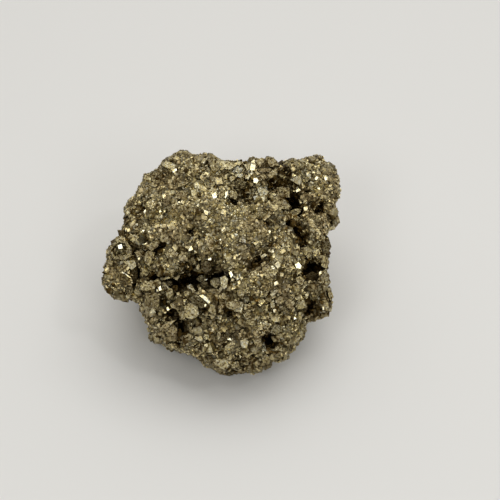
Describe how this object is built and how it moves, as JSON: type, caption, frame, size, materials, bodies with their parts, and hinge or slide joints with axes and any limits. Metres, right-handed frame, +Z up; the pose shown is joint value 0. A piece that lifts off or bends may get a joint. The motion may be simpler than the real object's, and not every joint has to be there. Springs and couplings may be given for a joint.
{
  "type": "pyrite specimen",
  "caption": "Hand-sized pyrite specimen: one lumpy mass of intergrown cubic and octahedral crystals with dark pits, resting on a flat broken base.",
  "frame": {"origin": "under the middle of the specimen's box, at the level of the broken base that it rests on", "axes": "+X along the longest side, to the right when the display face is seen; +Y away from the viewer; +Z up. The display face looks towards -Y, leaning 55 degrees back from level"},
  "size_m": [0.057, 0.0544, 0.0416],
  "materials": {
    "pyrite": "pale brassy metallic lustre, flat crystal faces bright, sugary crystal crust duller, brown tarnish in places and near-black pits"
  },
  "bodies": {
    "root": {"pyrite_cluster": "pyrite"}
  },
  "joints": []
}
